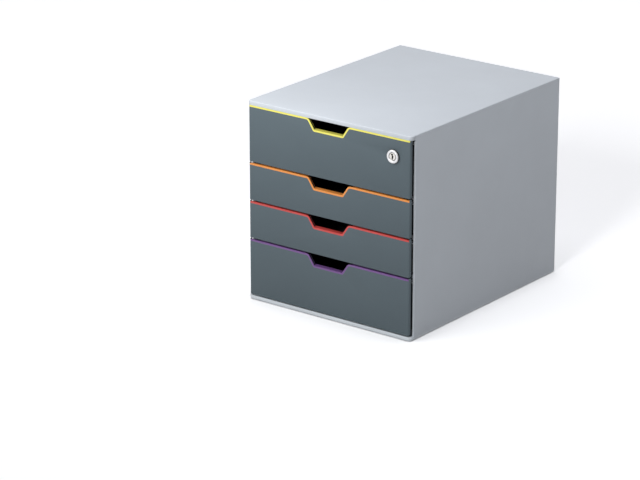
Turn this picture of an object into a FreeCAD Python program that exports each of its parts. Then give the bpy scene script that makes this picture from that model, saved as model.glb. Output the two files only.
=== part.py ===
import FreeCAD, Part
import math
import os

from FreeCAD import Vector

# A desk drawer box: a housing of five panels on rubber feet, four drawers that slide out
# at the front, and a cam lock on the top drawer.
# Millimetres. X runs from left to right, Z up, and Y back from the face of the drawer fronts.
# export() then moves every piece so that the origin is under the middle of the whole box.

# --- Housing ---
width = 280.0
depth = 356.0
level = 28.0  # pitch of the runner levels
drawer_levels = (3, 2, 2, 3)  # height of each drawer in levels, from the top one down
side_wall = 2.7
rear_wall = 2.6
plate = 2.6  # thickness of the top and base plates
top_lip = 6.0  # height of the lip over the top drawer
base_height = 5.5  # from the underside of the base to the lowest level line
lip_rise = 0.6  # how far the base lip stands above that line
lip_depth = 8.6
lip_wall = 2.6
front_corner = 5.0  # upright corners of both lips
rear_corner = 1.5
top_edge = 0.8  # bevel round the top
base_edge = 1.4  # bevel round the underside
seam = 0.3  # gap between a lip and the side panel behind it
side_edge = 1.2  # rounding of the side panels' front edges
fit = 0.2  # clearance of each housing joint

# --- Joints between the housing panels ---
groove_depth = 3.0
groove_rib = 2.4
rear_inset = 1.0  # how far the rear panel lies inside the rear edges
tab_length = 12.0
tab_height = 1.5
tab_wall = 1.2
tab_places = (0.17, 0.5, 0.83)  # along the side panels
locating_rib = 2.4
locating_height = 2.4
grid_wall = 1.4
grid_height = 2.2
grid_pitch_x = 90.0
grid_pitch_y = 84.0
bar_half = 2.4  # half height of the bars across the rear panel
bar_wall = 1.4
bar_inset = 31.0  # from the inside of the side panels to the bars

# --- Feet ---
foot_side = 14.0
foot_corner = 2.5  # cut off each corner
foot_proud = 0.5
foot_pocket = 1.3
foot_inset = 24.0

# --- Runners and stops ---
rim_drop = 4.0  # from a drawer's level line down to its rim
rim_wall = 2.0
run_gap = 0.25
runner_wall = 2.0
runner_reach = 8.0
runner_lead = 5.0  # slope at each runner's front end
runner_gap_front = 2.0  # from the trim to the runners
runner_gap_rear = 1.0  # from the runners to the groove of the rear panel
runner_space = 5.0  # clear height between a pair of runners
stop_length = 4.0
stop_height = 2.2
stop_gap = 0.3
travel = 265.0  # how far a drawer slides out

# --- Drawer trays ---
tray_wall = 2.0
tray_floor = 2.0
tray_corner = 6.0
tray_bevel = 2.4  # along the outside of the bottom edges
tray_lift = 2.0  # from the level line below up to the tray's underside
tray_side_gap = 1.8  # between the tray and the runner tips
rim_side_gap = 0.7  # between the rim and the side panels
tray_length = 338.0
rim_rear = 3.0
tab_rear_length = 8.0
tab_rear_gap = 0.45  # between a stop tab and the runner above it

# --- Drawer fronts ---
front_depth = 4.0
front_wall = 2.2
front_return = 2.0
front_side_gap = 2.0  # from the side of the housing to the front's end
front_lower_gap = 2.4  # from the level line below up to the front's lower edge
front_side_round = 2.0
front_lower_corner = 2.0
front_upper_corner = 1.0
ear_rise = 1.2  # from the level line up to the ends of the front beside the trim
ear_play = 0.2  # between an ear and the trim's end
front_rib = 1.2
front_rib_pitch = 46.0

# --- Coloured trims and finger notches ---
trim_wall = 2.3
trim_drop = 0.3  # from the level line down to the trim
trim_inset = 3.4  # from the side of the housing to the trim's end
trim_depth = 8.4
slope_depth = 1.2  # depth of the trim on the slopes of the notch
slope_lap = 0.5  # how far the skirt is cut back below the slopes
trim_end_round = 0.8
skirt_wall = 1.2
skirt_height = 4.0
skirt_gap = 0.1
notch_depth = 17.7  # from the level line down to the front's notch edge
notch_half = 25.3  # half of the front's notch at the bottom
notch_slope = math.radians(34.0)
notch_upper_round = 4.0
notch_lower_round = 3.0

# --- Clips between a front and its tray ---
clip_width = 10.0
clip_wall = 1.6
clip_hook = 1.1
clip_inset = 8.0  # from the front's upper and lower edges
upper_clips = (-86.0, 86.0)
lower_clips = (-112.0, 0.0, 112.0)
clip_play = 0.15
clip_room = 0.5

# --- Lock ---
lock_side = 30.3  # from the right side of the housing to the lock's axis
lock_drop = 26.6  # from the top level line down to the lock's axis
ring_r = 10.0
ring_inner_r = 6.4
ring_edge = 1.2
ring_bevel = 0.9
lock_proud = 3.0
barrel_r = 8.2
barrel_flat = 7.2
barrel_reach = 13.8  # from the front's face to the barrel's rear end
bore_play = 0.15
plug_r = 5.3
plug_play = 0.05
plug_recess = 0.4
plug_bevel = 0.4
plug_tail = 6.4  # across the flats of the plug's square tail
wafer_count = 4
wafer_pitch = 2.1
wafer_wall = 1.0
wafer_width = 5.0
wafer_play = 0.1
wafer_rear = 4.5  # from the last wafer to the plug's rear shoulder
keyway_height = 8.0
keyway_width = 1.7
keyway_ward = 0.8  # how far the wards step to each side
ward_height = 2.6  # of the middle ward
upper_ward = 2.1  # height of the ward at the top
keyway_past = 0.5  # how far the key slot runs on behind the last wafer
window_play = 0.15  # between the key slot and the opening in each wafer
nut_across = 20.0
nut_wall = 3.5
cam_wall = 2.0
cam_width = 10.0
cam_lead = 0.2  # between the barrel and the cam
cam_clear = 0.6  # between the cam's tip and the top plate
cam_play = 0.1
washer_r = 4.8
washer_wall = 0.9
screw_head_r = 4.2
screw_head = 2.4
screw_r = 2.0
screw_grip = 5.5  # how deep its hole goes into the plug
screw_tip = 0.5  # left free under the tip
recess_length = 4.8  # of the cross recess in its head
recess_width = 1.0
strike_wall = 2.6
strike_half = 12.0
strike_gap = 0.5  # between the raised cam and the strike
strike_rise = 0.5  # between the top trim and the strike

# --- Places worked out from the sizes above ---
outer_x = width / 2
inner_x = outer_x - side_wall
floor_top = foot_proud + plate
stack_bottom = foot_proud + base_height
stack_top = stack_bottom + level * sum(drawer_levels)
height = stack_top + top_lip
plate_under = height - plate
side_front = lip_depth + seam
groove_rear = depth - rear_inset + fit / 2
groove_front = depth - rear_inset - rear_wall - fit / 2
runner_tip = inner_x - runner_reach
runner_front = trim_depth + runner_gap_front
runner_rear = groove_front - groove_rib - runner_gap_rear
tray_x = runner_tip - tray_side_gap
rim_x = inner_x - rim_side_gap
tray_front = front_depth
tray_inner = tray_front + tray_wall
tray_rear = tray_front + tray_length
front_x = outer_x - front_side_gap
trim_x = outer_x - trim_inset
lock_x = outer_x - lock_side
lock_z = stack_top - lock_drop
cam_front = barrel_reach + cam_lead
cam_rear = cam_front + cam_wall
cam_reach = plate_under - cam_clear - lock_z
plug_face = plug_recess - lock_proud
last_wafer = barrel_reach - wafer_rear
front_y = lock_proud - (depth + lock_proud) / 2  # the front's face in the finished frame


# --- Shapes that the pieces are made with ---
def rounded_face(corners, place):
    """A flat face whose corners are (u, v, radius); place() turns u, v into a point."""
    count = len(corners)
    bends = []
    for i, (u, v, r) in enumerate(corners):
        here = Vector(u, v, 0)
        before = (Vector(*corners[i - 1][:2], 0) - here).normalize()
        after = (Vector(*corners[(i + 1) % count][:2], 0) - here).normalize()
        half = before.getAngle(after) / 2
        run = r / math.tan(half)
        middle = here + (before + after).normalize() * (r / math.sin(half) - r) if r else here
        bends.append((here + before * run, middle, here + after * run))
    edges = []
    for i, (start, middle, end) in enumerate(bends):
        following = bends[(i + 1) % count][0]
        if corners[i][2]:
            points = [place(p.x, p.y) for p in (start, middle, end)]
            edges.append(Part.Arc(*points).toShape())
        if (following - end).Length > 1e-6:
            edges.append(Part.makeLine(place(end.x, end.y), place(following.x, following.y)))
    return Part.Face(Part.Wire(edges))


def across_x(corners, low, high):
    """Extrude a side view (y, z, radius) from x = low to x = high."""
    face = rounded_face(corners, lambda u, v: Vector(low, u, v))
    return face.extrude(Vector(high - low, 0, 0))


def across_y(corners, low, high):
    """Extrude a front view (x, z, radius) from y = low to y = high."""
    face = rounded_face(corners, lambda u, v: Vector(u, low, v))
    return face.extrude(Vector(0, high - low, 0))


def across_z(corners, low, high):
    """Extrude a plan (x, y, radius) from z = low to z = high."""
    face = rounded_face(corners, lambda u, v: Vector(u, v, low))
    return face.extrude(Vector(0, 0, high - low))


def rectangle(u, v, r=0.0, r_high=None):
    """Corners of a rectangle; r rounds the corners at low v, r_high those at high v."""
    r_high = r if r_high is None else r_high
    return [(u[0], v[0], r), (u[1], v[0], r), (u[1], v[1], r_high), (u[0], v[1], r_high)]


def block(x, y, z):
    return across_z(rectangle(x, y), *z)


def join(shapes):
    return shapes[0].fuse(shapes[1:]).removeSplitter()


def mirrored(shape):
    return shape.mirror(Vector(0, 0, 0), Vector(1, 0, 0))


def edges_at(shape, z):
    """The edges that lie flat at height z."""
    boxes = [(edge, edge.BoundBox) for edge in shape.Edges]
    return [edge for edge, box in boxes if max(abs(box.ZMin - z), abs(box.ZMax - z)) < 1e-4]


def bevelled(shape, size, z):
    """Bevel the edges that lie at height z."""
    return shape.makeChamfer(size, edges_at(shape, z))


def square(side, y):
    """A square bar along the lock's axis."""
    half = side / 2
    return across_y(rectangle((lock_x - half, lock_x + half), (lock_z - half, lock_z + half)), *y)


def turned(profile):
    """Revolve a closed profile of (radius, y) about the lock's axis."""
    points = [Vector(lock_x + r, y, lock_z) for r, y in profile]
    face = Part.Face(Part.makePolygon(points + points[:1]))
    return face.revolve(Vector(lock_x, 0, lock_z), Vector(0, 1, 0), 360)


def rod(r, y):
    """A round bar along the lock's axis."""
    return Part.makeCylinder(r, y[1] - y[0], Vector(lock_x, y[0], lock_z), Vector(0, 1, 0))


# --- Housing panels ---
def housing_plan(inset=0.0):
    x = outer_x - inset
    return rectangle((-x, x), (inset, depth - inset), front_corner - inset, max(rear_corner - inset, 0))


def lip(z):
    """The front lip of a plate, whose ends turn round the upright corners."""
    ring = across_z(housing_plan(), *z).cut(across_z(housing_plan(lip_wall), *z))
    return ring.common(block((-width, width), (0, lip_depth), z))


def rear_ribs(z):
    """The two ribs of a plate that hold the edge of the rear panel."""
    x = inner_x - groove_depth - fit
    front = block((-x, x), (groove_front - groove_rib, groove_front), z)
    rear = block((-x, x), (groove_rear, depth), z)
    return [front, rear]


def locating_ribs(z):
    """Ribs along the inside of the side panels."""
    x = inner_x - fit
    y = (side_front + side_edge, groove_front - groove_rib)
    right = block((x - locating_rib, x), y, z)
    return [right, mirrored(right)]


def stiffening_grid(z):
    """Thin ribs across the inside of a plate."""
    x = inner_x - fit - locating_rib
    y = (lip_depth, groove_front - groove_rib)
    columns = int(2 * x / grid_pitch_x)
    along = [grid_pitch_x * (i - (columns - 1) / 2) for i in range(columns)]
    rows = int((y[1] - y[0]) / grid_pitch_y)
    ribs = [block((at - grid_wall / 2, at + grid_wall / 2), (lip_wall, y[1]), z) for at in along]
    for row in range(1, rows + 1):
        at = y[0] + row * grid_pitch_y
        ribs.append(block((-x, x), (at - grid_wall / 2, at + grid_wall / 2), z))
    return ribs


def edge_tabs(play, z):
    """Tabs on the edge of the right side panel, or with play the slots that they enter."""
    middle = outer_x - side_wall / 2
    x = (middle - tab_wall / 2 - play, middle + tab_wall / 2 + play)
    tabs = []
    for share in tab_places:
        at = side_front + share * (depth - side_front)
        tabs.append(block(x, (at - tab_length / 2 - play, at + tab_length / 2 + play), z))
    return tabs


def edge_slots(z):
    right = edge_tabs(fit / 2, z)
    return right + [mirrored(slot) for slot in right]


def strike():
    """The rib that the raised cam stops against, with a gusset at each end."""
    low = stack_top - trim_drop + strike_rise
    rear = cam_front - strike_gap
    x = (lock_x - strike_half, lock_x + strike_half)
    rib = block(x, (rear - strike_wall, rear), (low, plate_under))
    slope = [(lip_wall, plate_under, 0), (rear, plate_under, 0), (rear, low, 0)]
    gussets = [across_x(slope, x[0], x[0] + grid_wall), across_x(slope, x[1] - grid_wall, x[1])]
    return [rib] + gussets


def top_panel():
    slab = across_z(housing_plan(), plate_under, height)
    slab = bevelled(slab, top_edge, height)
    under = (plate_under - grid_height, plate_under)
    pieces = [slab, lip((stack_top, plate_under))]
    pieces += rear_ribs((plate_under - groove_depth, plate_under))
    pieces += locating_ribs((plate_under - locating_height, plate_under))
    pieces += stiffening_grid(under) + strike()
    slots = edge_slots((plate_under, plate_under + tab_height + fit / 2))
    return join(pieces).cut(slots)


def foot_places():
    x = outer_x - foot_inset
    y = (foot_inset, depth - foot_inset)
    return {
        "foot_front_left": (-x, y[0]),
        "foot_front_right": (x, y[0]),
        "foot_rear_left": (-x, y[1]),
        "foot_rear_right": (x, y[1]),
    }


def foot_pad(x, y, play, z):
    """A square with its corners cut off, the shape of a foot and of the pocket it sits in."""
    half = foot_side / 2 + play
    pad = block((x - half, x + half), (y - half, y + half), z)
    upright = [edge for edge in pad.Edges if edge.BoundBox.ZLength > play]
    return pad.makeChamfer(foot_corner, upright)


def base_panel():
    slab = across_z(housing_plan(), foot_proud, floor_top)
    slab = bevelled(slab, base_edge, foot_proud)
    pieces = [slab, lip((floor_top, stack_bottom + lip_rise))]
    pieces += rear_ribs((floor_top, floor_top + groove_depth))
    pieces += locating_ribs((floor_top, floor_top + locating_height))
    pieces += stiffening_grid((floor_top, floor_top + grid_height))
    cuts = edge_slots((floor_top - tab_height - fit / 2, floor_top))
    for x, y in foot_places().values():
        cuts.append(foot_pad(x, y, fit / 2, (foot_proud, foot_proud + foot_pocket)))
    return join(pieces).cut(cuts)


def foot(x, y):
    """A rubber pad that stands out of its pocket."""
    return foot_pad(x, y, 0, (0, foot_proud + foot_pocket))


def drawer_lines():
    """The level lines over and under each drawer, from the top one down."""
    lines = []
    line = stack_top
    for levels in drawer_levels:
        lines.append((line, line - levels * level))
        line -= levels * level
    return lines


def runner(z_low):
    """One runner, sloped at its front end so that a rim finds its way in."""
    plan = [
        (inner_x, runner_front, 0),
        (inner_x, runner_rear, 0),
        (runner_tip, runner_rear, 0),
        (runner_tip, runner_front + runner_lead, 0),
        (runner_tip + runner_lead, runner_front, 0),
    ]
    return across_z(plan, z_low, z_low + runner_wall)


def runner_pair(line):
    """The runners under and over a drawer's rim, with the stop under the upper one."""
    rim_low = line - rim_drop - rim_wall
    lower_top = rim_low - run_gap
    upper_low = lower_top + runner_space
    stop_rear = runner_front + runner_lead + stop_length
    ramp = [
        (stop_rear, upper_low, 0),
        (stop_rear, upper_low - stop_height, 0),
        (stop_rear - stop_length / 2, upper_low - stop_height, 0),
        (stop_rear - stop_length - stop_height, upper_low, 0),
    ]
    stop = across_x(ramp, runner_tip, inner_x)
    return [runner(lower_top - runner_wall), runner(upper_low), stop]


def side_panel():
    """The right side panel: its plan holds the groove for the rear panel."""
    boss = inner_x - groove_depth
    plan = [
        (outer_x, side_front, side_edge),
        (outer_x, depth, rear_corner),
        (boss, depth, 0),
        (boss, groove_rear, 0),
        (inner_x, groove_rear, 0),
        (inner_x, groove_front, 0),
        (boss, groove_front, 0),
        (boss, groove_front - groove_rib, 0),
        (inner_x, groove_front - groove_rib, 0),
        (inner_x, side_front, 0),
    ]
    pieces = [across_z(plan, floor_top, plate_under)]
    for line, _ in drawer_lines():
        pieces += runner_pair(line)
    pieces += edge_tabs(0, (plate_under, plate_under + tab_height))
    pieces += edge_tabs(0, (floor_top - tab_height, floor_top))
    return join(pieces)


def rear_panel():
    x = inner_x - fit
    y = (depth - rear_inset - rear_wall, depth - rear_inset)
    wall = across_y(rectangle((-x, x), (floor_top, plate_under)), *y)
    bars = []
    half = inner_x - bar_inset
    for line, _ in drawer_lines()[1:]:
        bar = rectangle((-half, half), (line - bar_half, line + bar_half))
        bars.append(across_y(bar, y[0] - bar_wall, y[0]))
    return join([wall] + bars)


# --- Drawers ---
def notch_path(line, rise, rounded=True):
    """Top edge and finger notch, left to right, shifted by rise from the front's own edge.

    The shift keeps the curves parallel, so the trim has the same thickness all round."""
    upper = line - trim_drop - trim_wall
    lower = line - notch_depth
    slide = rise * (math.tan(notch_slope) - 1 / math.cos(notch_slope))
    low_half = notch_half + slide
    high_half = low_half + (upper - lower) * math.tan(notch_slope)
    upper_r = max(notch_upper_round + rise, 0) if rounded else 0
    lower_r = max(notch_lower_round - rise, 0) if rounded else 0
    return [
        (-high_half, upper + rise, upper_r),
        (-low_half, lower + rise, lower_r),
        (low_half, lower + rise, lower_r),
        (high_half, upper + rise, upper_r),
    ]


def trim_band(low, high, half, end_r, y):
    """A band between two notch paths, ending at half to each side."""
    upper_ends = [(x, high[0][1], end_r) for x in (-half, half)]
    lower_ends = [(x, low[0][1], 0) for x in (half, -half)]
    outline = upper_ends[:1] + high + upper_ends[1:] + lower_ends[:1] + low[::-1] + lower_ends[1:]
    return across_y(outline, *y)


def trim(line):
    """The coloured strip: a cap over the top edge and a skirt behind the tray's front wall."""
    path = notch_path(line, 0)
    high = notch_path(line, trim_wall)
    skirt_x = tray_x - tray_corner
    rim = trim_band(path, high, trim_x, trim_end_round, (0, front_depth))
    cap = trim_band(path, high, skirt_x, 0, (0, trim_depth))
    low = notch_path(line, -skirt_height, rounded=False)
    inside = notch_path(line, trim_wall / 2, rounded=False)
    skirt_y = (tray_inner + skirt_gap, tray_inner + skirt_gap + skirt_wall)
    skirt = trim_band(low, inside, skirt_x, 0, skirt_y)
    slopes = notch_path(line, -slope_lap, rounded=False)
    open_x = slopes[-1][0] + notch_upper_round
    opening = [(-open_x, slopes[0][1], 0)] + slopes
    opening += [(open_x, slopes[0][1], 0), (open_x, line, 0), (-open_x, line, 0)]
    ledge = high[1][1]
    hollow = across_y(opening, slope_depth, trim_depth)
    hollow = hollow.common(block((-open_x, open_x), (slope_depth, trim_depth), (ledge, line)))
    return join([rim, cap, skirt]).cut(hollow)


def clip_places(line, lower_line):
    """Where the clips stand, two beside the notch and three along the bottom."""
    upper = line - trim_drop - trim_wall - clip_inset
    lower = lower_line + front_lower_gap + clip_inset
    return [(x, upper) for x in upper_clips] + [(x, lower) for x in lower_clips]


def clip(x, z):
    """A hooked tongue on the back of a front, seen from the side."""
    hook = tray_inner + skirt_gap
    tongue = [
        (front_wall, z, 0),
        (hook + clip_hook * 2, z, 0),
        (hook + clip_hook * 2, z + clip_wall, 0),
        (hook + clip_hook / 2, z + clip_wall + clip_hook, 0),
        (hook, z + clip_wall + clip_hook, 0),
        (hook, z + clip_wall, 0),
        (front_wall, z + clip_wall, 0),
    ]
    return across_x(tongue, x - clip_width / 2, x + clip_width / 2)


def clip_slot(x, z):
    half = clip_width / 2 + clip_play
    y = (tray_front, tray_inner)
    return block((x - half, x + half), y, (z - clip_play, z + clip_wall + clip_room))


def front(line, lower_line, bored):
    """A drawer front: a shallow shell with the finger notch in its top edge."""
    low = lower_line + front_lower_gap
    path = notch_path(line, 0)
    high = path[0][1]
    ear_top = min(line + ear_rise, stack_top - trim_drop)
    ear_x = trim_x + ear_play
    right_end = [
        (ear_x, high, 0),
        (ear_x, ear_top, 0),
        (front_x, ear_top, front_upper_corner),
        (front_x, low, front_lower_corner),
    ]
    left_end = [(-x, z, r) for x, z, r in right_end[::-1]]
    plan = rectangle((-front_x, front_x), (0, front_depth), front_side_round, 0)
    shell = across_y(left_end + path + right_end, 0, front_depth)
    shell = shell.common(across_z(plan, low, ear_top))
    inset_x = front_x - front_return
    pocket_path = notch_path(line, -front_return, rounded=False)
    pocket_top = pocket_path[0][1]
    pocket = [(-inset_x, low + front_return, 0), (-inset_x, pocket_top, 0)] + pocket_path
    pocket += [(inset_x, pocket_top, 0), (inset_x, low + front_return, 0)]
    hollow = across_y(pocket, front_wall, front_depth)
    stiffeners = []
    columns = int(inset_x / front_rib_pitch)
    for count in range(-columns, columns + 1):
        x = count * front_rib_pitch
        fin = block((x - front_rib / 2, x + front_rib / 2), (front_wall, front_depth), (low, high))
        stiffeners.append(fin.common(hollow))
    pieces = [shell.cut(hollow)] + stiffeners
    pieces += [clip(x, z) for x, z in clip_places(line, lower_line)]
    if bored:
        pieces.append(rod(ring_r, (front_wall, front_depth)))
    body = join(pieces)
    if bored:
        body = body.cut(barrel_hole())
    return body


def tray(line, lower_line, bored):
    """An open box with a rim along its sides, a full-width front wall and two stop tabs."""
    low = lower_line + tray_lift
    rim_top = line - rim_drop
    y = (tray_front, tray_rear)
    outer = across_z(rectangle((-tray_x, tray_x), y, tray_corner), low, rim_top)
    outer = bevelled(outer, tray_bevel, low)
    inner_half = tray_x - tray_wall
    inner_y = (tray_inner, tray_rear - tray_wall)
    inner_plan = rectangle((-inner_half, inner_half), inner_y, tray_corner - tray_wall)
    inner = across_z(inner_plan, low + tray_floor, line)
    rim_plan = rectangle((-rim_x, rim_x), (tray_front, tray_rear + rim_rear), 0, tray_corner)
    rim = across_z(rim_plan, rim_top - rim_wall, rim_top)
    path = notch_path(line, 0)
    wall_top = path[0][1]
    wall_low = lower_line + front_lower_gap + front_return
    wall = across_y(rectangle((-rim_x, rim_x), (wall_low, wall_top)), tray_front, tray_inner)
    above = [(-rim_x, wall_top, 0)] + path
    above += [(rim_x, wall_top, 0), (rim_x, line, 0), (-rim_x, line, 0)]
    stop_front = runner_front + runner_lead + stop_length + travel + stop_gap
    stop_top = line - rim_drop - rim_wall - run_gap + runner_space - tab_rear_gap
    stop = block(
        (runner_tip + rim_side_gap, rim_x),
        (stop_front, stop_front + tab_rear_length),
        (rim_top - rim_wall, stop_top),
    )
    body = join([outer, rim, wall, stop, mirrored(stop)])
    cuts = [inner, across_y(above, tray_front, tray_inner)]
    cuts += [clip_slot(x, z) for x, z in clip_places(line, lower_line)]
    body = body.cut(cuts)
    if bored:
        body = body.cut(barrel_hole())
    return body


# --- Lock ---
def flatted(r, flat, y):
    """A rod with two upright flats, which keep the barrel from turning in its hole."""
    flats = block((lock_x - flat, lock_x + flat), y, (lock_z - r, lock_z + r))
    return rod(r, y).common(flats)


def barrel_hole():
    return flatted(barrel_r + bore_play, barrel_flat + bore_play, (-lock_proud, barrel_reach))


def lock_barrel():
    """A face ring with a bevelled rim and mouth, on a body with two flats."""
    bore = plug_r + plug_play
    face = -lock_proud
    ring = turned([
        (bore, 0),
        (ring_r, 0),
        (ring_r, face + ring_edge),
        (ring_r - ring_edge, face),
        (ring_inner_r, face),
        (bore, face + ring_bevel),
    ])
    body = flatted(barrel_r, barrel_flat, (0, barrel_reach))
    return join([ring, body]).cut(rod(bore, (0, barrel_reach)))


def lock_nut():
    """A hexagon nut behind the tray's front wall."""
    y = (tray_inner, tray_inner + nut_wall)
    corner_r = nut_across / 2 / math.cos(math.radians(30))
    angles = [math.radians(60 * count + 30) for count in range(6)]
    points = [(lock_x + corner_r * math.cos(a), lock_z + corner_r * math.sin(a), 0) for a in angles]
    return across_y(points, *y).cut(rod(barrel_r + plug_play, y))


def keyway():
    """The warded key slot: an upright with one ward in the middle and one at the top."""
    top = lock_z + keyway_height / 2
    bottom = lock_z - keyway_height / 2
    side = keyway_width / 2
    ward = side + keyway_ward
    corners = [
        (lock_x - side, bottom, 0),
        (lock_x + side, bottom, 0),
        (lock_x + side, lock_z - ward_height / 2, 0),
        (lock_x + ward, lock_z - ward_height / 2, 0),
        (lock_x + ward, lock_z + ward_height / 2, 0),
        (lock_x + side, lock_z + ward_height / 2, 0),
        (lock_x + side, top, 0),
        (lock_x - ward, top, 0),
        (lock_x - ward, top - upper_ward, 0),
        (lock_x - side, top - upper_ward, 0),
    ]
    return across_y(corners, plug_face, last_wafer + keyway_past)


def wafers(play):
    """The wafers in their row, or with play the slots that hold them."""
    x = wafer_width / 2 + play
    z = math.sqrt(plug_r**2 - (wafer_width / 2) ** 2) + play
    plan = rectangle((lock_x - x, lock_x + x), (lock_z - z, lock_z + z))
    rows = []
    for count in range(wafer_count):
        rear = last_wafer - count * wafer_pitch
        rows.append(across_y(plan, rear - wafer_wall - play, rear + play))
    return rows


def lock_wafers():
    """Thin wafers across the plug, each with an opening that the key goes through."""
    x = keyway_width / 2 + keyway_ward + window_play
    z = keyway_height / 2 + window_play
    opening = rectangle((lock_x - x, lock_x + x), (lock_z - z, lock_z + z))
    window = across_y(opening, plug_face, barrel_reach)
    return Part.Compound([wafer.cut(window) for wafer in wafers(0)])


def lock_plug():
    """A turned core with a square tail for the cam, cut by the key slot and the wafer slots."""
    core = turned([
        (0, plug_face),
        (plug_r - plug_bevel, plug_face),
        (plug_r, plug_face + plug_bevel),
        (plug_r, barrel_reach),
        (0, barrel_reach),
    ])
    tail = square(plug_tail, (barrel_reach, cam_rear))
    screw_hole = rod(screw_r, (cam_rear - screw_grip, cam_rear))
    return join([core, tail]).cut([keyway(), screw_hole] + wafers(wafer_play))


def lock_cam():
    """A flat bar with round ends and a square hole, lying to the left when unlocked."""
    y = (cam_front, cam_rear)
    half = cam_width / 2
    bar = block((lock_x - cam_reach + half, lock_x), y, (lock_z - half, lock_z + half))
    tip = rod(half, y).translated(Vector(half - cam_reach, 0, 0))
    return join([bar, tip, rod(half, y)]).cut(square(plug_tail + 2 * cam_play, y))


def cam_washer():
    y = (cam_rear, cam_rear + washer_wall)
    return rod(washer_r, y).cut(rod(screw_r + plug_play, y))


def cam_screw():
    """A screw with a cross recess that holds the cam on the plug's tail."""
    seat = cam_rear + washer_wall
    end = seat + screw_head
    shank = rod(screw_r, (cam_rear - screw_grip + screw_tip, seat))
    head = rod(screw_head_r, (seat, end))
    recess = []
    for x, z in ((recess_length, recess_width), (recess_width, recess_length)):
        half_x = x / 2
        half_z = z / 2
        arm = rectangle((lock_x - half_x, lock_x + half_x), (lock_z - half_z, lock_z + half_z))
        recess.append(across_y(arm, end - screw_head / 2, end))
    return join([shank, head]).cut(recess)


# --- Export ---
def export(node, shape):
    moved = shape.copy()
    moved.translate(Vector(0, front_y, 0))
    moved.exportStep("parts/" + node + ".step")


def main():
    os.makedirs("parts", exist_ok=True)
    export("top_panel", top_panel())
    export("base_panel", base_panel())
    right = side_panel()
    export("right_side_panel", right)
    export("left_side_panel", mirrored(right))
    export("rear_panel", rear_panel())
    for node, (x, y) in foot_places().items():
        export(node, foot(x, y))
    for number, (line, lower_line) in enumerate(drawer_lines(), start=1):
        bored = number == 1
        export(f"drawer_{number}_tray", tray(line, lower_line, bored))
        export(f"drawer_{number}_front", front(line, lower_line, bored))
        export(f"drawer_{number}_trim", trim(line))
    export("lock_barrel", lock_barrel())
    export("lock_nut", lock_nut())
    export("lock_plug", lock_plug())
    export("lock_wafers", lock_wafers())
    export("lock_cam", lock_cam())
    export("cam_washer", cam_washer())
    export("cam_screw", cam_screw())


main()
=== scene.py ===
import math

import bpy
from mathutils import Matrix, Vector

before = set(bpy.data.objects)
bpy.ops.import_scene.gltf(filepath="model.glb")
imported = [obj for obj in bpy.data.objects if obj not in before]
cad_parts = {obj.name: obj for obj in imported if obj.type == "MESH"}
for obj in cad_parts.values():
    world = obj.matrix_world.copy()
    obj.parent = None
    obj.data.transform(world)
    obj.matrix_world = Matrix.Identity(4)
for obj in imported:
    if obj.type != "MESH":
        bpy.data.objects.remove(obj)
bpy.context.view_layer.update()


# --- Housing: top, base, side and rear panels ---
# Five panels of light grey polystyrene that clip together at tabs and grooves. Each is
# injection moulded in a finely etched mould, which leaves a satin grain on every outer face.

class Wire:
    """One socket of a node. Arithmetic on it adds Math nodes, and node() adds any other."""

    def __init__(self, tree, socket=None):
        self.tree = tree
        self.socket = socket

    def node(self, kind, settings=None, sockets=None, out=0):
        made = self.tree.nodes.new(kind)
        for name, value in (settings or {}).items():
            setattr(made, name, value)
        for name, value in (sockets or {}).items():
            if isinstance(value, Wire):
                self.tree.links.new(value.socket, made.inputs[name])
            else:
                made.inputs[name].default_value = value
        return Wire(self.tree, made.outputs[out]) if made.outputs else None

    def maths(self, operation, *terms):
        settings = {"operation": operation}
        return self.node("ShaderNodeMath", settings, dict(enumerate(terms)))

    def __add__(self, other):
        return self.maths("ADD", self, other)

    __radd__ = __add__

    def __sub__(self, other):
        return self.maths("SUBTRACT", self, other)

    def __rsub__(self, other):
        return self.maths("SUBTRACT", other, self)

    def __mul__(self, other):
        return self.maths("MULTIPLY", self, other)

    __rmul__ = __mul__

    def ramp(self, low, high):
        """0 up to low, 1 from high on, and even in between."""
        values = {"Value": self, "From Min": low, "From Max": high}
        return self.node("ShaderNodeMapRange", {"clamp": True}, values)

    def blend(self, first, second):
        """The first colour where this socket is 0, the second where it is 1."""
        settings = {"data_type": "RGBA", "clamp_factor": True}
        return self.node("ShaderNodeMix", settings, {0: self, 6: first, 7: second}, 2)


def shade(red, green, blue):
    """A colour written as screen values from 0 to 255, in the linear values of a shader."""
    parts = [value / 255 for value in (red, green, blue)]
    return [p / 12.92 if p <= 0.04045 else ((p + 0.055) / 1.055) ** 2.4 for p in parts] + [1]


def tinted(colour, factor):
    return [min(part * factor, 1) for part in colour[:3]] + [1]


def blank(name):
    """An empty material and a wire to build its nodes on."""
    material = bpy.data.materials.new(name)
    material.use_nodes = True
    material.node_tree.nodes.clear()
    return material, Wire(material.node_tree)


def edges_of(wire, reach):
    """1 along the edges of a piece and 0 on its faces, found by rounding the normal."""
    soft = wire.node("ShaderNodeBevel", {"samples": 6}, {"Radius": reach})
    own = wire.node("ShaderNodeNewGeometry", out="Normal")
    along = wire.node("ShaderNodeVectorMath", {"operation": "DOT_PRODUCT"}, {0: soft, 1: own}, "Value")
    return (1 - along).ramp(0.01, 0.2)


def noise(wire, at, scale, detail):
    return wire.node("ShaderNodeTexNoise", {}, {"Vector": at, "Scale": scale, "Detail": detail})


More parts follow.
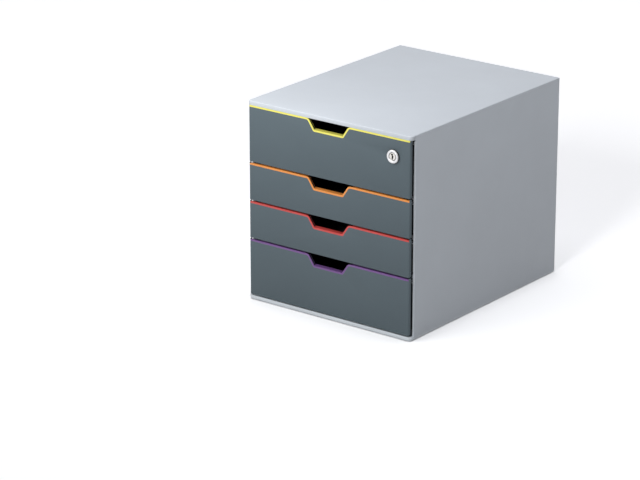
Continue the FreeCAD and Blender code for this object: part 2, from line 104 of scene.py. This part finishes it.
def moulded(name, colour, gloss, grain, sheen=0.5):
    """Moulded plastic: etched grain, a faint cloudiness in the colour, and rubbed edges."""
    material, wire = blank(name)
    at = wire.node("ShaderNodeTexCoord", out="Object")
    cloud = noise(wire, at, 11, 3)
    flow = noise(wire, at, 70, 4)
    etched = noise(wire, at, 2600, 2)
    speckle = noise(wire, at, 900, 1)
    rubbed = edges_of(wire, 0.0012) * flow.ramp(0.35, 0.6)
    tone = (cloud * 0.7 + speckle * 0.3).ramp(0.3, 0.7)
    skin = tone.blend(tinted(colour, 0.965), tinted(colour, 1.035))
    worn = (rubbed * 0.5).blend(skin, tinted(colour, 1.3))
    smooth = gloss + (flow - 0.5) * 0.10 + (cloud - 0.5) * 0.08 - rubbed * 0.1
    relief = wire.node("ShaderNodeBump", {}, {"Strength": grain, "Distance": 0.00006, "Height": etched})
    sockets = {"Base Color": worn, "Roughness": smooth, "Normal": relief, "Specular IOR Level": sheen}
    shader = wire.node("ShaderNodeBsdfPrincipled", {}, sockets)
    wire.node("ShaderNodeOutputMaterial", {}, {"Surface": shader})
    return material


def eased(piece, width, steps=3):
    """Round the sharp edges of a piece, as they come out of the mould."""
    weld = piece.modifiers.new("welded faces", "WELD")
    weld.merge_threshold = 1e-6
    flat = piece.modifiers.new("whole flats", "DECIMATE")
    flat.decimate_type = "DISSOLVE"
    flat.angle_limit = math.radians(0.5)
    edge = piece.modifiers.new("eased edges", "BEVEL")
    edge.width = width
    edge.segments = steps
    edge.limit_method = "ANGLE"
    edge.angle_limit = math.radians(35)
    edge.harden_normals = True
    piece.data.polygons.foreach_set("use_smooth", [True] * len(piece.data.polygons))


def finished(node, material, width, steps=3):
    """Give a piece of the model its finish and its eased edges."""
    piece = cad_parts[node]
    piece.data.materials.clear()
    piece.data.materials.append(material)
    eased(piece, width, steps)


panel_edge = 0.0004
panel_finish = {"gloss": 0.5, "grain": 0.22, "sheen": 0.4}
housing_plastic = moulded("housing plastic", shade(203, 209, 215), **panel_finish)
# The base is the same plastic as the other panels. Its colour is painted lighter, a painted highlight
# standing in for the light on its front lip under the bottom drawer.
base_painted_lighter = moulded("base plastic painted lighter", shade(215, 221, 226), **panel_finish)
for node in ("top_panel", "left_side_panel", "right_side_panel", "rear_panel"):
    finished(node, housing_plastic, panel_edge)
finished("base_panel", base_painted_lighter, panel_edge)


# --- Feet ---
# Four pads of soft black rubber, die cut with clipped corners and glued into pockets in
# the base, so that the box stands just clear of the desk.

def rubber(name, colour):
    material, wire = blank(name)
    at = wire.node("ShaderNodeTexCoord", out="Object")
    grain = noise(wire, at, 1500, 3)
    dust = noise(wire, at, 160, 4).ramp(0.45, 0.7)
    dusty = (dust * 0.5).blend(colour, tinted(colour, 2.2))
    relief = wire.node("ShaderNodeBump", {}, {"Strength": 0.4, "Distance": 0.0001, "Height": grain})
    sockets = {"Base Color": dusty, "Roughness": 0.75 + dust * 0.2, "Normal": relief}
    shader = wire.node("ShaderNodeBsdfPrincipled", {}, sockets)
    wire.node("ShaderNodeOutputMaterial", {}, {"Surface": shader})
    return material


foot_edge = 0.0003
foot_rubber = rubber("foot rubber", shade(38, 38, 40))
for end in ("front", "rear"):
    for side in ("left", "right"):
        finished(f"foot_{end}_{side}", foot_rubber, foot_edge)


# --- Drawer trays ---
# Deep open boxes of dark grey plastic with a rim along both sides that slides between
# the runners. Their inside carries the same satin grain as the housing.

tray_edge = 0.0003
tray_plastic = moulded("tray plastic", shade(70, 74, 78), gloss=0.55, grain=0.25)
drawers = range(1, 5)
for number in drawers:
    finished(f"drawer_{number}_tray", tray_plastic, tray_edge)


# --- Drawer fronts ---
# Shallow charcoal shells with a finger notch in the top edge. Each is moulded in one
# piece with the hooks that clip it on to its tray.

front_edge = 0.0004
front_plastic = moulded("front plastic", shade(90, 102, 108), gloss=0.55, grain=0.2, sheen=0.2)
for number in drawers:
    finished(f"drawer_{number}_front", front_plastic, front_edge)


# --- Coloured trims ---
# One moulded strip for each drawer caps the top edge and lines the finger notch. Its
# colour tells the drawers apart.

trim_colours = {
    "yellow": shade(240, 232, 108),
    "orange": shade(240, 152, 74),
    "red": shade(205, 74, 70),
    "purple": shade(118, 82, 142),
}
trim_edge = 0.0004
for number, (word, colour) in zip(drawers, trim_colours.items()):
    trim_plastic = moulded(f"{word} trim", colour, gloss=0.38, grain=0.12)
    finished(f"drawer_{number}_trim", trim_plastic, trim_edge)


# --- Lock ---
# A cam lock of nickel plated zinc. The barrel passes through the top drawer's front and
# is held by a nut behind it, and the plug turns a steel cam.

def metal(name, colour, gloss, scratch, painted_wall_shade=1.0, grime=0.0):
    """Plated or rolled metal. Its rim and walls, which face away from the lock's axis, can be painted
    darker as painted shade and a painted dark reflection, and its edges are bright from wear or dark
    with grime."""
    material, wire = blank(name)
    at = wire.node("ShaderNodeTexCoord", out="Object")
    haze = noise(wire, at, 300, 4)
    pits = noise(wire, at, 2500, 2)
    worn = edges_of(wire, 0.0004 + 0.0004 * grime)
    stain = haze.ramp(0.35, 0.75)
    turned = wire.node("ShaderNodeTexCoord", out="Normal")
    along = wire.node("ShaderNodeSeparateXYZ", {}, {"Vector": turned}, out="Y")
    flat = wire.maths("ABSOLUTE", along)
    face = stain.blend(colour, tinted(colour, 0.82))
    # Painted shade: where the surface turns away from the lock's axis (the walls and chamfers of the
    # barrel head and plug), the colour is darkened. This stands in for the shade and dark reflection at
    # the sides of the head.
    skin = flat.ramp(0.6, 0.9).blend(tinted(colour, painted_wall_shade), face)
    edged = (worn * (0.6 + 0.3 * grime)).blend(skin, tinted(colour, 1.15 - grime))
    relief = wire.node("ShaderNodeBump", {}, {"Strength": scratch, "Distance": 0.00004, "Height": pits})
    rough = gloss + stain * 0.12 + (pits - 0.5) * 0.1
    sockets = {"Base Color": edged, "Metallic": 1.0, "Roughness": rough, "Normal": relief}
    shader = wire.node("ShaderNodeBsdfPrincipled", {}, sockets)
    wire.node("ShaderNodeOutputMaterial", {}, {"Surface": shader})
    return material


# The barrel and plug have their walls and chamfers painted dark, to a tenth of their colour, as painted
# shade.
lock_chrome = metal("bright nickel", shade(236, 236, 237), gloss=0.2, scratch=0.05, painted_wall_shade=0.1)
plug_metal = metal("satin nickel", shade(226, 223, 217), gloss=0.34, scratch=0.15, painted_wall_shade=0.1, grime=1.0)
lock_steel = metal("zinc plated steel", shade(182, 184, 188), gloss=0.38, scratch=0.2)
wafer_brass = metal("stamped brass", shade(206, 176, 104), gloss=0.3, scratch=0.15)
finished("lock_barrel", lock_chrome, 0.0002)
finished("lock_nut", lock_steel, 0.0003)
finished("lock_plug", plug_metal, 0.00015)
finished("lock_wafers", wafer_brass, 0.0001)
finished("lock_cam", lock_steel, 0.0003)
finished("cam_washer", lock_steel, 0.0001)
finished("cam_screw", lock_steel, 0.0002)


# --- Floor, lamps and camera ---
# A wide flat white floor under a white backdrop, lit by a wide lamp overhead, a softbox close to the
# drawer fronts and a weaker lamp further off in front.

stage_collection = bpy.context.scene.collection
black, white = [0, 0, 0, 1], [1, 1, 1, 1]


def seen_directly(wire):
    """1 for rays that come from the camera, a mirror or glass, and 0 for light that spreads."""
    kinds = ("Is Camera Ray", "Is Glossy Ray", "Is Transmission Ray")
    camera, glossy, clear = [wire.node("ShaderNodeLightPath", out=kind) for kind in kinds]
    return wire.maths("MAXIMUM", camera, wire.maths("MAXIMUM", glossy, clear))


def white_paper():
    """White as it is looked at, with the shadow kept and a painted contact shadow in its glow close to
    the box, and a mid grey for the light it gives back.
    """
    given_back = 0.56
    own_light = 0.25
    painted_shadow_reach = 0.025
    material, wire = blank("white paper")
    matt = wire.node("ShaderNodeBsdfDiffuse", {}, {"Color": tinted(white, given_back)})
    card = wire.node("ShaderNodeBsdfDiffuse", {}, {"Color": white})
    # Painted shadow: the floor's own glow is dimmed by ambient occlusion within 2.5 cm of the box, which
    # darkens the floor next to its base.
    open_sky = wire.node("ShaderNodeAmbientOcclusion", {"samples": 12}, {"Distance": painted_shadow_reach}, "AO")
    glow_with_painted_shadow = open_sky.blend(black, white)
    glow = wire.node("ShaderNodeEmission", {}, {"Color": glow_with_painted_shadow, "Strength": own_light})
    bright = wire.node("ShaderNodeAddShader", {}, {0: card, 1: glow})
    either = wire.node("ShaderNodeMixShader", {}, {0: seen_directly(wire), 1: matt, 2: bright})
    wire.node("ShaderNodeOutputMaterial", {}, {"Surface": either})
    return material


floor_half = 12.0
floor_mesh = bpy.data.meshes.new("floor")
floor_mesh.from_pydata([(x, y, 0) for x, y in ((-1, -1), (1, -1), (1, 1), (-1, 1))], [], [(0, 1, 2, 3)])
floor_mesh.transform(Matrix.Scale(floor_half, 4))
floor_mesh.materials.append(white_paper())
floor = bpy.data.objects.new("floor", floor_mesh)
stage_collection.objects.link(floor)

world = bpy.data.worlds.new("studio")
bpy.context.scene.world = world
world.use_nodes = True
world.node_tree.nodes.clear()
wire = Wire(world.node_tree)
room = wire.node("ShaderNodeBackground", {}, {"Color": white, "Strength": 0.15})
backdrop = wire.node("ShaderNodeBackground", {}, {"Color": white, "Strength": 1.0})
around = wire.node("ShaderNodeMixShader", {}, {0: seen_directly(wire), 1: room, 2: backdrop})
wire.node("ShaderNodeOutputWorld", {}, {"Surface": around})


def lamp(name, kind, energy, place, towards):
    """Hang a lamp at a place, turned towards another, and return its settings."""
    light = bpy.data.lights.new(name, kind)
    light.energy = energy
    fixture = bpy.data.objects.new(name, light)
    fixture.location = place
    fixture.rotation_euler = (Vector(place) - Vector(towards)).to_track_quat("Z", "Y").to_euler()
    stage_collection.objects.link(fixture)
    return light


def far_lamp(name, away, spread, level, tint=(1, 1, 1)):
    """A soft lamp a long way off; level is what it adds to a white card that faces it."""
    light = lamp(name, "SUN", level * math.pi, away, (0, 0, 0))
    light.angle = math.radians(spread)
    light.color = tint


def near_lamp(name, place, towards, size, level):
    """A square softbox close by; level is what it adds to a white card at its target."""
    distance = (Vector(place) - Vector(towards)).length
    light = lamp(name, "AREA", level * math.pi ** 2 * distance ** 2, place, towards)
    light.size = size


upper_front = (-0.02, -0.176, 0.27)
cool = (0.99, 1.0, 1.06)
far_lamp("front lamp", (0.14, -0.8, 0.38), 12, 0.31)
far_lamp("overhead lamp", (0.06, 0.12, 1), 70, 0.48, tint=cool)
near_lamp("softbox", (-0.10, -0.46, 0.46), upper_front, 0.3, 0.74)

azimuth, elevation = 37.63, 19.385
camera = bpy.data.objects.new("camera", bpy.data.cameras.new("camera"))
camera.data.lens = 165.9
camera.data.sensor_width = 36
camera.location = (2.319, -3.2025, 1.459)
camera.rotation_euler = (math.radians(90 - elevation), 0, math.radians(azimuth))
stage_collection.objects.link(camera)
bpy.context.scene.camera = camera
bpy.context.scene.view_settings.view_transform = "Standard"
